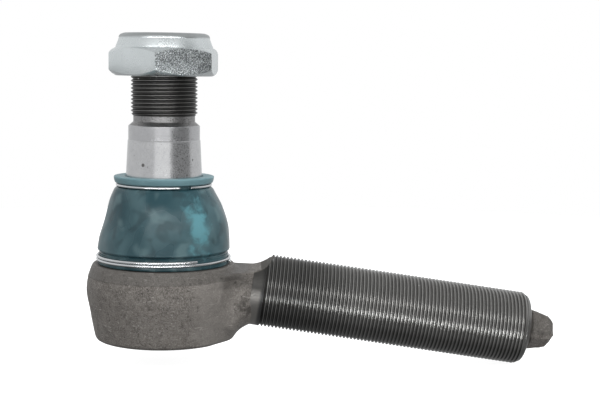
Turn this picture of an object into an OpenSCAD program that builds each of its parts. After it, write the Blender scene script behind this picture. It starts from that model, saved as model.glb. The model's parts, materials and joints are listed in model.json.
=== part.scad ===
// Tie rod end: a ball stud held in a forged housing that carries a threaded bar.
// Z runs along the stud. The origin is on the stud's axis, at the large end of its taper.
// The ball's centre lies below it, and the bar leaves that centre towards +X, sloping down.

/* [Ball stud] */
// Distance from the large end of the taper down to the ball's centre
ball_drop = 41; // [36:0.5:52]
// Diameter of the ball
ball_d = 38; // [32:0.5:46]
// Depth of the flat turned on the bottom of the ball
ball_flat = 2; // [1:0.1:3]
// Diameter of the neck above the ball
neck_d = 21; // [16:0.5:24]
// Length of the plain shank that the boot's lip seals on
seal_land = 7; // [5:0.5:9]
// Height of the cone between the neck and that shank
neck_cone = 9; // [6:0.5:11]
// Diameter at the large end of the taper
taper_d = 30.9; // [26:0.1:36]
// Length in which the taper loses one unit of diameter
taper_ratio = 10; // [8:1:20]
// Length of the ground taper
taper_len = 14.5; // [10:0.5:20]
// Length of the plain collar above the taper
collar_len = 6; // [4:0.5:8]
// Amount that the collar's radius is smaller than the end of the taper
collar_step = 0.2; // [0.1:0.1:0.5]
// Nominal diameter of the stud's thread
stud_thread_d = 27; // [20:1:28]
// Length of the relief groove below the thread
groove_len = 3.4; // [2:0.1:5]
// Depth of that groove below the thread's crests
groove_depth = 0.95; // [0.5:0.05:1.5]
// Height of the chamfer between the collar and the groove
collar_chamfer = 1.4; // [0.8:0.1:2]
// Length of thread that shows below the nut
thread_shown = 15.2; // [8:0.1:20]
// Depth of the stud's end below the top of the nut
stud_recess = 3; // [2:0.1:4]

/* [Lock nut] */
// Width of the hexagon across its flats
nut_af = 41; // [36:1:50]
// Height of the hexagon
hex_h = 11.4; // [9:0.1:14]
// Height of the round collar that holds the insert
nut_collar_h = 5.7; // [5:0.1:8]
// Amount that the collar is narrower than the flats, on the radius
nut_collar_in = 0.7; // [0.3:0.1:1.5]
// Width of the seating face inside the flats, on the radius
nut_face_in = 1; // [0.5:0.1:2]
// Angle from +X to a corner of the hexagon
nut_turn_angle = 25; // [0:1:59]
// Thickness of the nylon ring
insert_h = 3; // [2:0.1:4]
// Radial thickness of the nylon ring
insert_w = 2.7; // [2:0.1:3.2]

/* [Threads] */
// Pitch of both threads
pitch = 1.5; // [1:0.25:2]
// Amount that the crests stay below the nominal size, on the radius
crest_allowance = 0.05; // [0.05:0.05:0.2]

/* [Housing] */
// Thickness of the bearing shells at the ball's equator
shell_wall = 3.85; // [3:0.05:5]
// Wall of the housing at its widest
body_wall = 8.35; // [7:0.05:11]
// Wall between the bore and the seat of the boot
seat_wall = 1.45; // [1.2:0.05:2.5]
// Height of the housing's shoulder above the ball's centre
shoulder_h = 5.2; // [4.4:0.1:7.2]
// Height of the boot's seat above that shoulder
seat_h = 6; // [5:0.1:8]
// Radius that rounds the barrel from top to bottom
barrel_round = 22; // [18:0.5:30]
// Depth of the widest point below the ball's centre
belly_drop = 5; // [3:0.5:7]
// Draft angle of the lower part of the barrel
draft = 11; // [6:1:14]
// Thickness of the wall rolled over the cover
rim_t = 2; // [1.2:0.1:2.5]
// Thickness of the cover
cover_t = 3.5; // [2.5:0.1:5]
// Width of the ledge that the cover rests on
ledge_w = 1.4; // [1.1:0.1:2]

/* [Bar] */
// Angle of the bar below the plane square to the stud
bar_angle = 8.2; // [0:0.1:12]
// Nominal diameter of the bar's thread
bar_thread_d = 30; // [24:1:36]
// Distance from the ball's centre to the start of the thread
thread_start = 42; // [40:0.5:60]
// Length of the thread
thread_len = 106.5; // [60:1.5:150]
// Length of the bar's chamfered end
bar_end = 4.3; // [3:0.1:6]
// Radius of the forged stub on the bar's end
stub_r = 8.6; // [6:0.1:10]
// Half the width across the stub's flats
stub_half = 7.4; // [5.5:0.1:8.5]
// Length of the stub
stub_len = 10.5; // [6:0.5:16]
// Depth of the flat on the neck below the housing's shoulder
neck_drop = 2; // [1:0.1:4]
// Radius of the hollow that rises from that flat to the thread
scallop_r = 12; // [8:0.5:16]
// Reach of the fillet from the housing to the bar
neck_fillet = 8.5; // [7:0.5:14]
// Rise of that fillet over the bar's radius
neck_rise = 7.2; // [3:0.1:8]
// Distance that the same fillet sits nearer the housing on the bar's sides
waist_shift = 6.2; // [4:0.1:8]

/* [Boot] */
// Thickness of the rubber
boot_wall = 2; // [1.4:0.1:2.5]
// Height of the lip above the upper ring
lip_h = 2.9; // [2.5:0.1:5]
// Radial width of the lip around the stud
lip_w = 4.6; // [4:0.1:6]
// Depth of the lower ring's groove
ring_groove = 0.5; // [0.3:0.1:0.8]
// Depth of the upper ring's groove below the lip
top_groove = 2.1; // [1.2:0.1:2.6]
// Diameter of the clamping wire
wire_d = 1.25; // [1:0.05:1.5]
// Amount that the belly stands out beyond the lower bead
belly_out = 0.1; // [0.1:0.1:1.5]
// Radius of the roll in the boot's flank
flank_round = 62; // [45:1:90]
// Width of the gap in the upper ring, as an angle
ring_gap = 14; // [6:1:25]
// Angle from +X to the middle of that gap
ring_gap_at = -74; // [-180:1:180]

/* [Clearances] */
// Gap between the ball and its shells
ball_gap = 0.1; // [0.05:0.01:0.15]
// Gap between pieces that are pressed or laid together
seat_gap = 0.05; // [0.03:0.01:0.1]
// Gap between the stud's thread and the nut
nut_gap = 0.08; // [0.05:0.01:0.1]
// Gap between the boot and the metal that it seals on
boot_gap = 0.3; // [0.25:0.05:0.5]
// Room left under the ball for the cover
cover_room = 1.4; // [1.2:0.1:2]

/* [Hidden] */
$fn = 96;

// Points of an arc about a centre, from one angle to another
function arc(centre, r, from, to, steps) =
    [for (i = [0:steps]) let (a = from + (to - from) * i / steps)
        [centre[0] + r * cos(a), centre[1] + r * sin(a)]];

// Outline of a row of ring grooves, from the first crest to the last
thread_depth = 0.61 * pitch;
crest_w = 0.2 * pitch;
flank_w = 0.33 * pitch;
function groove_row(r, start, turns) =
    [for (i = [0:turns - 1]) let (s = start + i * pitch)
        each [[r, s], [r, s + crest_w],
            [r - thread_depth, s + crest_w + flank_w], [r - thread_depth, s + pitch - flank_w]]];

// Radii and heights of the socket, measured from the ball's centre
ball_r = ball_d / 2;
neck_r = neck_d / 2;
cup_r = ball_r + ball_gap;
shell_r = cup_r + shell_wall;
bore_r = shell_r + seat_gap;
body_r = bore_r + body_wall;
seat_r = bore_r + seat_wall;
shell_top = 0.45 * ball_r;
cone_h = 3.5;
cone_w = 4.4;
mouth_r = shell_r - cone_w - 0.9;
mouth_flare = 2;
seat_top = shoulder_h + seat_h;
shell_split = -1.3;
shell_bottom = -0.78 * ball_r;
plate_t = 2;
plate_bottom = shell_bottom - seat_gap - plate_t;
plate_in_r = sqrt(pow(ball_r, 2) - pow(shell_bottom, 2)) + 2;
cover_top = -(ball_r + cover_room);
pocket_r = bore_r + ledge_w;
housing_bottom = cover_top - cover_t - seat_gap - rim_t;
spring_t = 1.4;

// The stud, measured from the large end of the taper
taper_r = taper_d / 2;
taper_top_r = taper_r - taper_len / taper_ratio / 2;
collar_r = taper_top_r - collar_step;
stud_crest_r = stud_thread_d / 2 - crest_allowance;
groove_r = stud_crest_r - groove_depth;
groove_z = taper_len + collar_len + collar_chamfer;
thread_z = groove_z + groove_len;
nut_z = thread_z + thread_shown;
nut_h = hex_h + nut_collar_h;
stud_turns = floor((nut_z + nut_h - stud_recess - thread_z) / pitch);
stud_top = thread_z + stud_turns * pitch + 0.6;

// The nut
corner_r = nut_af / 2 / cos(30);
nut_bore_r = stud_crest_r + nut_gap;
nut_collar_r = nut_af / 2 - nut_collar_in;
nut_lip_t = 1.4;
insert_z = nut_z + nut_h - nut_lip_t - insert_h;
insert_r = nut_bore_r + insert_w;

// The bar, measured along its own axis from the ball's centre
bar_r = bar_thread_d / 2 - crest_allowance;
bar_neck_r = bar_r - 0.7;
bar_turns = floor(thread_len / pitch);
thread_end = thread_start + bar_turns * pitch;
bar_tip = thread_end + bar_end;
fillet_end = thread_start - 2.5;
curve_r = (pow(neck_fillet, 2) + pow(neck_rise, 2)) / (2 * neck_rise);
function neck_curve(r, end) =
    arc([r + curve_r, end], curve_r, 180 + asin(neck_fillet / curve_r), 180, 8);

// The boot, measured from the large end of the taper
boot_bottom = -ball_drop + shoulder_h + boot_gap;
bead_in_r = seat_r + boot_gap;
bead_r = bead_in_r + boot_wall;
ring_z = boot_bottom + 1.3;
ring_pitch = wire_d - 0.1;
lower_ring_r = bead_r - ring_groove + wire_d / 2 + seat_gap;
lip_in_r = taper_r + boot_gap;
lip_r = lip_in_r + lip_w;
top_ring_z = -lip_h - wire_d / 2;
top_groove_r = lip_r - top_groove;
top_ring_r = top_groove_r + wire_d / 2 + seat_gap;
flank_top = [lip_r - 0.5, top_ring_z - wire_d];
belly = [bead_r + belly_out, ring_z + 2 * ring_pitch + 2.2];

module at_ball() {
    translate([0, 0, -ball_drop]) children();
}

// Turns +Z to point along the bar, from the ball's centre
module along_bar() {
    at_ball() rotate([0, 90 + bar_angle, 0]) children();
}

module barrel() {
    centre = [body_r - barrel_round, -belly_drop];
    top_angle = asin((shoulder_h + belly_drop) / barrel_round);
    side = arc(centre, barrel_round, top_angle, -draft, 10);
    foot = side[len(side) - 1];
    corner_h = housing_bottom + 1.5;
    corner_x = foot[0] - (foot[1] - corner_h) * tan(draft);
    rotate_extrude() polygon(concat(
        [[0, seat_top], [seat_r, seat_top], [seat_r, shoulder_h]],
        side,
        [[corner_x, corner_h], [corner_x - 0.5, housing_bottom + 0.5],
            [corner_x - 1.4, housing_bottom], [0, housing_bottom]]));
}

// The room for the ball, its shells, the spring and the cover
module socket() {
    cone_top = shell_top + 0.75;
    rotate_extrude() polygon([
        [0, housing_bottom - 1],
        [pocket_r - 2.2, housing_bottom - 1],
        [pocket_r - 2.2, housing_bottom + rim_t * 0.6],
        [pocket_r, housing_bottom + rim_t],
        [pocket_r, cover_top + seat_gap],
        [bore_r, cover_top + seat_gap],
        [bore_r, shell_top - cone_h + 0.1],
        [mouth_r, cone_top],
        [mouth_r, cone_top + 0.6],
        [mouth_r + mouth_flare, seat_top],
        [mouth_r + mouth_flare, seat_top + 1],
        [0, seat_top + 1]]);
}

// The forging's sides run into the housing sooner than its top and bottom do
module waist() {
    slack = 0.2;
    half = bar_neck_r + slack;
    side = concat([[half + neck_rise, -1]], neck_curve(half, fillet_end - waist_shift),
        [[half, fillet_end + 0.5], [2 * bar_r, fillet_end + 0.5],
            [2 * bar_r, bar_tip + 1]]);
    other = [for (i = [len(side) - 1:-1:0]) [-side[i][0], side[i][1]]];
    translate([-2 * bar_r, 0, 0]) rotate([90, 0, 90]) linear_extrude(4 * bar_r)
        polygon(concat(side, other));
}

module bar() {
    intersection() {
        rotate_extrude() polygon(concat(
            [[0, 0], [bar_neck_r + neck_rise, 0]],
            neck_curve(bar_neck_r, fillet_end),
            [[bar_neck_r, thread_start - 1.2]],
            groove_row(bar_r, thread_start, bar_turns),
            [[bar_r, thread_end], [bar_r - 1.3, thread_end + bar_end * 0.55],
                [stub_r, bar_tip], [0, bar_tip]]));
        waist();
    }
}

// A hollow across the top of the neck, which leaves it low beside the boot
module neck_scallop() {
    flat_z = -ball_drop + shoulder_h - neck_drop;
    hollow_x = thread_start * cos(bar_angle) - 0.53 * scallop_r;
    reach = 2 * bar_thread_d;
    translate([0, bar_thread_d, 0]) rotate([90, 0, 0]) linear_extrude(2 * bar_thread_d)
        polygon(concat(
            [[0, flat_z]],
            arc([hollow_x, flat_z + scallop_r], scallop_r, 270, 345, 8),
            [[hollow_x + scallop_r, flat_z + reach], [0, flat_z + reach]]));
}

// A tapered square with its corners turned off
module stub() {
    shrink = 0.7;
    intersection() {
        rotate_extrude() polygon([[0, -1], [stub_r, -1], [stub_r, 0],
            [stub_r * 0.8, stub_len * 0.8], [stub_r * 0.62, stub_len], [0, stub_len]]);
        rotate([0, 0, 50]) hull() {
            translate([-stub_half, -stub_half, -1]) cube([2 * stub_half, 2 * stub_half, 1]);
            translate([-stub_half * shrink, -stub_half * shrink, stub_len])
                cube([2 * stub_half * shrink, 2 * stub_half * shrink, 1]);
        }
    }
}

module housing() {
    color([0.36, 0.34, 0.32]) difference() {
        union() {
            at_ball() barrel();
            difference() {
                along_bar() bar();
                neck_scallop();
            }
            along_bar() translate([0, 0, bar_tip]) stub();
        }
        at_ball() socket();
    }
}

module ball_stud() {
    end_chamfer = 1.2;
    centre_hole_r = 3;
    color([0.62, 0.62, 0.63]) difference() {
        union() {
            at_ball() sphere(r = ball_r);
            rotate_extrude() polygon(concat(
                [[0, -ball_drop], [neck_r, -ball_drop],
                    [neck_r, -seal_land - neck_cone], [taper_r, -seal_land], [taper_r, 0],
                    [taper_top_r, taper_len], [collar_r, taper_len + 0.3],
                    [collar_r, taper_len + collar_len], [groove_r, groove_z],
                    [groove_r, thread_z - groove_depth]],
                groove_row(stud_crest_r, thread_z, stud_turns - 1),
                [[stud_crest_r, stud_top - end_chamfer],
                    [stud_crest_r - end_chamfer, stud_top], [0, stud_top]]));
        }
        translate([0, 0, -ball_drop - ball_r - 1]) cylinder(h = ball_flat + 1, r = ball_r);
        translate([0, 0, stud_top - centre_hole_r * 1.5])
            cylinder(h = centre_hole_r * 1.5 + 0.01, r1 = 0, r2 = centre_hole_r);
    }
}

module lock_nut() {
    face_r = nut_af / 2 - nut_face_in;
    cone_r = corner_r + 1;
    chamfer_h = (cone_r - face_r) * tan(30);
    color([0.75, 0.77, 0.78]) difference() {
        union() {
            translate([0, 0, nut_z]) intersection() {
                rotate([0, 0, nut_turn_angle]) cylinder(h = hex_h, r = corner_r, $fn = 6);
                rotate_extrude() polygon([[0, 0], [face_r, 0], [cone_r, chamfer_h],
                    [cone_r, hex_h - chamfer_h], [face_r, hex_h], [0, hex_h]]);
            }
            translate([0, 0, nut_z + hex_h - 1]) rotate_extrude() polygon([[0, 0],
                [nut_collar_r, 0], [nut_collar_r, 1], [nut_collar_r - 0.8, 1 + nut_collar_h * 0.5],
                [nut_collar_r - 1.4, 1 + nut_collar_h * 0.73],
                [nut_collar_r - 2.4, 1 + nut_collar_h * 0.9],
                [nut_collar_r - 3.7, 1 + nut_collar_h], [0, 1 + nut_collar_h]]);
        }
        rotate_extrude() polygon([[0, nut_z - 1], [nut_bore_r + 1.7, nut_z - 1],
            [nut_bore_r + 0.7, nut_z], [nut_bore_r, nut_z + 0.7],
            [nut_bore_r, insert_z - seat_gap], [insert_r + seat_gap, insert_z - seat_gap],
            [insert_r + seat_gap, insert_z + insert_h + seat_gap],
            [nut_bore_r + 1.2, insert_z + insert_h + seat_gap],
            [nut_bore_r + 1.2, nut_z + nut_h + 1], [0, nut_z + nut_h + 1]]);
    }
}

module nylon_insert() {
    color([0.86, 0.87, 0.84]) translate([0, 0, insert_z]) difference() {
        cylinder(h = insert_h, r = insert_r);
        translate([0, 0, -1]) cylinder(h = insert_h + 2, r = nut_bore_r);
    }
}

module dust_boot() {
    // The flank is an arc through its top and its belly
    chord = belly - flank_top;
    half = norm(chord) / 2;
    bow = sqrt(pow(flank_round, 2) - pow(half, 2));
    middle = (belly + flank_top) / 2;
    centre = middle + bow * [chord[1], -chord[0]] / norm(chord);
    start = atan2(flank_top[1] - centre[1], flank_top[0] - centre[0]);
    finish = atan2(belly[1] - centre[1], belly[0] - centre[0]);
    outer = arc(centre, flank_round, start, finish, 10);
    inner = arc(centre, flank_round - boot_wall, finish, start, 10);
    groove_top = ring_z + 1.5 * ring_pitch + seat_gap;
    groove_bottom = ring_z - wire_d / 2 - seat_gap;
    color([0.24, 0.42, 0.45]) rotate_extrude() polygon(concat(
        [[lip_in_r, 0], [lip_r, 0], [lip_r, -1.8], [lip_r - 1, -lip_h + 0.4],
            [top_groove_r, -lip_h + 0.1], [top_groove_r, flank_top[1] + 0.5]],
        outer,
        [[bead_r, groove_top + 0.8], [bead_r - ring_groove, groove_top],
            [bead_r - ring_groove, groove_bottom], [bead_r, groove_bottom],
            [bead_r, boot_bottom], [bead_in_r, boot_bottom],
            [bead_in_r, groove_top + 0.8]],
        inner,
        [[lip_in_r, flank_top[1] + 0.4]]));
}

module boot_top_ring() {
    color([0.82, 0.84, 0.85]) translate([0, 0, top_ring_z])
        rotate([0, 0, ring_gap_at + ring_gap / 2])
            rotate_extrude(angle = 360 - ring_gap) translate([top_ring_r, 0]) circle(d = wire_d);
}

module boot_bottom_ring() {
    color([0.82, 0.84, 0.85]) translate([0, 0, ring_z]) rotate_extrude() union() {
        translate([lower_ring_r, 0]) circle(d = wire_d);
        translate([lower_ring_r, ring_pitch]) circle(d = wire_d);
    }
}

module upper_bearing_shell() {
    color([0.88, 0.86, 0.78]) at_ball() difference() {
        rotate_extrude() polygon([[0, shell_split], [shell_r, shell_split],
            [shell_r, shell_top - cone_h], [shell_r - cone_w, shell_top], [0, shell_top]]);
        sphere(r = cup_r);
    }
}

module lower_bearing_shell() {
    color([0.88, 0.86, 0.78]) at_ball() difference() {
        translate([0, 0, shell_bottom])
            cylinder(h = shell_split - seat_gap - shell_bottom, r = shell_r);
        sphere(r = cup_r);
    }
}

module pressure_plate() {
    color([0.5, 0.5, 0.5]) at_ball() translate([0, 0, plate_bottom]) difference() {
        cylinder(h = plate_t, r = shell_r);
        translate([0, 0, -1]) cylinder(h = plate_t + 2, r = plate_in_r);
    }
}

module preload_spring() {
    top = plate_bottom - seat_gap;
    bottom = cover_top + seat_gap;
    outer_r = shell_r - 1;
    color([0.42, 0.42, 0.45]) at_ball() rotate_extrude() polygon([
        [plate_in_r, top], [outer_r, bottom + spring_t],
        [outer_r, bottom], [plate_in_r, top - spring_t]]);
}

module end_cover() {
    cover_r = pocket_r - seat_gap;
    dish_r = 0.55 * ball_r;
    dish = 0.9;
    color([0.5, 0.5, 0.49]) at_ball() rotate_extrude() polygon([
        [0, cover_top - dish * 0.2], [dish_r, cover_top - dish * 0.2], [dish_r + 1, cover_top],
        [cover_r - ledge_w - 0.5, cover_top], [cover_r, cover_top - 2],
        [cover_r, cover_top - cover_t], [dish_r + 4, cover_top - cover_t],
        [dish_r + 2.5, cover_top - cover_t + dish], [0, cover_top - cover_t + dish]]);
}

module cover_seal_ring() {
    seal_d = 1.1;
    color([0.08, 0.08, 0.08]) at_ball() translate([0, 0, cover_top - seal_d / 2])
        rotate_extrude() translate([pocket_r - seat_gap - seal_d / 2, 0]) circle(d = seal_d);
}

housing();
ball_stud();
lock_nut();
nylon_insert();
dust_boot();
boot_top_ring();
boot_bottom_ring();
upper_bearing_shell();
lower_bearing_shell();
pressure_plate();
preload_spring();
end_cover();
cover_seal_ring();
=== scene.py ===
# %% [markdown]
# # A heavy-duty tie rod end
# This lesson dresses a finished CAD model in real surfaces. The model is loaded as a fixed
# frame, and the pieces whose looks matter most are then modelled again over it: the forged
# housing, its threaded bar, the ball stud, the lock nut, the rubber boot and its two rings.

# %% The frame
import json
import math

import bpy
from mathutils import Matrix, Vector

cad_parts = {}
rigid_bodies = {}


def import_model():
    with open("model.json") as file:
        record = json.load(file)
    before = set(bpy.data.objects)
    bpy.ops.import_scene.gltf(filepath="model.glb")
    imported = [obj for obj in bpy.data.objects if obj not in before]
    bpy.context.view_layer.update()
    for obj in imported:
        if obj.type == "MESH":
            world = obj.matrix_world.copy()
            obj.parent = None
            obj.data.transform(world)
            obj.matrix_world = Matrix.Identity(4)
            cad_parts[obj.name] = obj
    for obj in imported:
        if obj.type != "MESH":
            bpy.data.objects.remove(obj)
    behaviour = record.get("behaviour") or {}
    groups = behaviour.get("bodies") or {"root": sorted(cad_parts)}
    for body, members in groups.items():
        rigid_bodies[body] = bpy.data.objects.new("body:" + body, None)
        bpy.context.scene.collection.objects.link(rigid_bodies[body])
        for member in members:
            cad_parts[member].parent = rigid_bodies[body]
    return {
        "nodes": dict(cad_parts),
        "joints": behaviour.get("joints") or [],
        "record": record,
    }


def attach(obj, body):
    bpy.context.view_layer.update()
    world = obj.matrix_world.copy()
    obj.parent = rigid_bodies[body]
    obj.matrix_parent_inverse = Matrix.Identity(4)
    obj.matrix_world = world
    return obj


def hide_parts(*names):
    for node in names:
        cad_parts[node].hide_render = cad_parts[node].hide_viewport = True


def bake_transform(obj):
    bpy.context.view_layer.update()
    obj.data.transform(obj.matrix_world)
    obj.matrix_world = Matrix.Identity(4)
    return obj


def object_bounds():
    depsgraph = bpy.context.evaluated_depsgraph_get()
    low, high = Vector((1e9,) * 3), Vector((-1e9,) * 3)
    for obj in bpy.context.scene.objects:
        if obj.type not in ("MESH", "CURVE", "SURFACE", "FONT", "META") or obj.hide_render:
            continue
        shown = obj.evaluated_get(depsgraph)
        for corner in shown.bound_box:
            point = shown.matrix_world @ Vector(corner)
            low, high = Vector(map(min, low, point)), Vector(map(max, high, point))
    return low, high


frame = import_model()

mm = 0.001
cad_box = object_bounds()
print("CAD nodes:", sorted(frame["nodes"]))

# %% [markdown]
# Sizes come from the CAD record wherever it has them. The ball's centre is the pivot of the
# swing joints, and the bar's slope is the direction of its thread.

# %% Places in the frame
ball_z = frame["joints"][0]["pos_m"][2] / mm
thread_mount = next(m for m in frame["record"]["mounts"] if m["name"] == "bar_thread")
bar_direction = Vector(thread_mount["axis"]).normalized()
bar_slope = math.asin(-bar_direction.z)
bar_crest_r = thread_mount["dims"]["r_mm"]
ball_centre = Vector((0, 0, ball_z)) * mm
pitch = 1.5
print(f"ball centre {ball_z:.1f} mm, bar slopes {math.degrees(bar_slope):.1f} degrees")

# %% [markdown]
# Most of these pieces were turned on a lathe, so the first helper is a lathe. One vertex is
# extruded from point to point into a half outline, and the outline is spun about Z. Arcs
# round the corners, because no real edge is perfectly sharp.

# %% Outlines
def arc(centre, r, start, end, steps):
    """Points of an arc in the outline's plane, angles in degrees."""
    angles = [math.radians(start + (end - start) * i / steps) for i in range(steps + 1)]
    return [(centre[0] + r * math.cos(a), centre[1] + r * math.sin(a)) for a in angles]


def start_clean():
    if bpy.context.mode != "OBJECT":
        bpy.ops.object.mode_set(mode="OBJECT")
    bpy.ops.object.select_all(action="DESELECT")


def work_on(piece):
    start_clean()
    piece.select_set(True)
    bpy.context.view_layer.objects.active = piece


def draw_outline(name, points):
    """An open line of edges through (radius, height) points in millimetres, left in edit mode."""
    start_clean()
    bpy.ops.mesh.primitive_plane_add(size=mm)
    piece = bpy.context.object
    piece.name = piece.data.name = name
    bpy.ops.object.mode_set(mode="EDIT")
    bpy.ops.mesh.select_mode(type="VERT")
    bpy.ops.mesh.select_all(action="SELECT")
    bpy.ops.mesh.merge(type="CENTER")
    spots = [Vector((r, 0, z)) * mm for r, z in points]
    bpy.ops.transform.translate(value=spots[0])
    for here, there in zip(spots, spots[1:]):
        bpy.ops.mesh.extrude_region_move(TRANSFORM_OT_translate={"value": there - here})
    return piece


# %% [markdown]
# A spun outline has doubled points on the axis, and its faces may look inwards. Every closed
# shape is therefore cleaned in the same way: touching points merge, and faces turn outwards.

# %% The lathe
merge_gap = 0.001 * mm


def tidy_mesh():
    """Joins what touches and turns every face outwards; the piece is in edit mode."""
    bpy.ops.mesh.select_all(action="SELECT")
    bpy.ops.mesh.remove_doubles(threshold=merge_gap)
    bpy.ops.mesh.normals_make_consistent(inside=False)


def smooth(piece, angle=30):
    work_on(piece)
    bpy.ops.object.shade_smooth_by_angle(angle=math.radians(angle))


def turn(name, points, steps=128):
    """A closed turned shape. Its outline starts and ends on the axis, or ends where it starts."""
    piece = draw_outline(name, points)
    bpy.ops.mesh.select_all(action="SELECT")
    bpy.ops.mesh.spin(steps=steps, angle=math.tau, center=(0, 0, 0), axis=(0, 0, 1))
    tidy_mesh()
    bpy.ops.object.mode_set(mode="OBJECT")
    smooth(piece)
    print(f"{name}: {len(piece.data.polygons)} faces")
    return piece


# %% [markdown]
# Machining is a boolean: a second shape is the cutter, and its modifier is applied at once.
# Other modifiers are added and applied the same way, so that every piece ends as plain mesh.
# A vertex group limits a modifier to one region, and cloud noise gives a skin its unevenness.

# %% Modifiers that are applied at once
def apply_modifier(piece, kind, **settings):
    work_on(piece)
    modifier = piece.modifiers.new(kind.lower(), kind)
    for key, value in settings.items():
        setattr(modifier, key, value)
    bpy.ops.object.modifier_apply(modifier=modifier.name)


def machine(piece, tool, operation="DIFFERENCE"):
    apply_modifier(piece, "BOOLEAN", operation=operation, object=tool, solver="EXACT")
    bpy.data.objects.remove(tool)


def weigh(piece, name, weight_at):
    """A vertex group whose weights come from each point's place, in millimetres."""
    group = piece.vertex_groups.new(name=name)
    for v in piece.data.vertices:
        weight = weight_at(v.co / mm)
        if weight > 0:
            group.add([v.index], min(weight, 1), "REPLACE")


def ramp(value, low, high):
    """0 below low, 1 above high, straight between."""
    return min(max((value - low) / (high - low), 0), 1)


def clouds(name, size, depth=2):
    texture = bpy.data.textures.new(name, "CLOUDS")
    texture.noise_scale = size * mm
    texture.noise_depth = depth
    return texture


def roughen(piece, texture, depth, group=""):
    """Moves the surface in and out by half a depth in millimetres, as the texture says."""
    apply_modifier(piece, "DISPLACE", texture=texture, strength=depth * mm, mid_level=0.5,
                   texture_coords="LOCAL", vertex_group=group)


# %% [markdown]
# The bar is modelled upright, with Z along its thread and its zero at the ball's centre, and
# laid down at the end. Applying the turn leaves the object at the origin.

# %% Laying a piece along the bar
def lay_along_bar(piece):
    work_on(piece)
    piece.rotation_euler = (0, math.pi / 2 + bar_slope, 0)
    piece.location = ball_centre
    bpy.ops.object.transform_apply(location=True, rotation=True, scale=True)


# %% [markdown]
# ## The threads
# A screw thread is one tooth swept along a helix. The Screw modifier does exactly that: it
# turns the tooth's outline while it climbs one pitch a turn, and merges each turn with the
# next, which gives a closed rod. Its ends are then cut square, and the rod is machined to a
# blank that has the real chamfers, so the crests fade out at both ends as a cut thread's do.

# %% A threaded rod
thread_depth = 0.52 * pitch
crest_w = 0.25 * pitch
flank_w = 0.31 * pitch
spare_turns = 2
thread_angle = 25


def threaded_rod(name, crest_r, start, end, blank, steps=72):
    root_r = crest_r - thread_depth
    tooth = [(crest_r, start - pitch), (crest_r, start - pitch + crest_w),
             (root_r, start - pitch + crest_w + flank_w),
             (root_r, start - flank_w), (crest_r, start)]
    piece = draw_outline(name, tooth)
    bpy.ops.object.mode_set(mode="OBJECT")
    turns = math.ceil((end - start) / pitch)
    apply_modifier(piece, "SCREW", axis="Z", angle=math.tau, screw_offset=pitch * mm,
                   iterations=turns + spare_turns, steps=steps, render_steps=steps,
                   use_merge_vertices=True, merge_threshold=merge_gap)
    bpy.ops.object.mode_set(mode="EDIT")
    tidy_mesh()
    for cut_z, side in ((start, {"clear_inner": True}), (end, {"clear_outer": True})):
        bpy.ops.mesh.select_all(action="SELECT")
        bpy.ops.mesh.bisect(plane_co=(0, 0, cut_z * mm), plane_no=(0, 0, 1),
                            use_fill=True, **side)
    tidy_mesh()
    bpy.ops.object.mode_set(mode="OBJECT")
    machine(piece, turn(name + "_blank", blank, steps=steps), "INTERSECT")
    smooth(piece, thread_angle)
    print(f"{name}: {turns} turns, {len(piece.data.polygons)} faces")
    return piece


# %% [markdown]
# ## The bar
# The thread starts out of a plain shank, just outside the forging's neck, and runs to the
# bar's end, which has a chamfer and then a steep cone. The shank is joined to the threaded
# rod, so the first grooves fade in on its chamfer. A blank stands clear of the crests by
# `over` wherever it isn't meant to cut them.

# %% The bar's thread
shank_r = bar_crest_r - 0.1
shank_start, thread_start, shank_end = 36.2, 40.2, 41.3
thread_end, bar_tip = 148.5, 152.8
stub_base_r = 8.6
over = 0.9

bar_thread = threaded_rod("bar_thread", bar_crest_r, thread_start - 0.5, bar_tip + 1.5, [
    (0, thread_start), (bar_crest_r + over, thread_start), (bar_crest_r + over, thread_end - 1.6),
    (bar_crest_r - 1.3, thread_end + 2.36), (bar_crest_r - 1.9, thread_end + 2.75),
    (stub_base_r + 0.4, bar_tip - 0.1), (stub_base_r - 0.5, bar_tip), (0, bar_tip)])
machine(bar_thread, turn("bar_shank", [
    (0, shank_start), (shank_r, shank_start), (shank_r, shank_end),
    (shank_r - 0.9, shank_end + 1.1), (0, shank_end + 1.1)], steps=120), "UNION")

# %% [markdown]
# The stub is what the forging dies left to hold the bar by: a tapered square, dented and
# rounded. It starts as a cube, whose end face is scaled down and whose edges are bevelled,
# and a turned envelope rounds its end. Rebuilt as an even grid of small faces, it can take
# the hammer marks that keep it from being perfectly flat.

# %% The stub on the bar's end
stub_half, stub_len = 7.4, 10.5
stub_end_scale, stub_edge, stub_twist = 0.7, 2.2, 50


def select_faces(piece, wanted):
    """Selects the faces whose centre and normal pass the test; the piece is in edit mode."""
    bpy.ops.mesh.select_all(action="DESELECT")
    bpy.ops.object.mode_set(mode="OBJECT")
    for face in piece.data.polygons:
        face.select = wanted(face.center / mm, face.normal)
    bpy.ops.object.mode_set(mode="EDIT")
    bpy.ops.mesh.select_mode(type="FACE")


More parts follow.
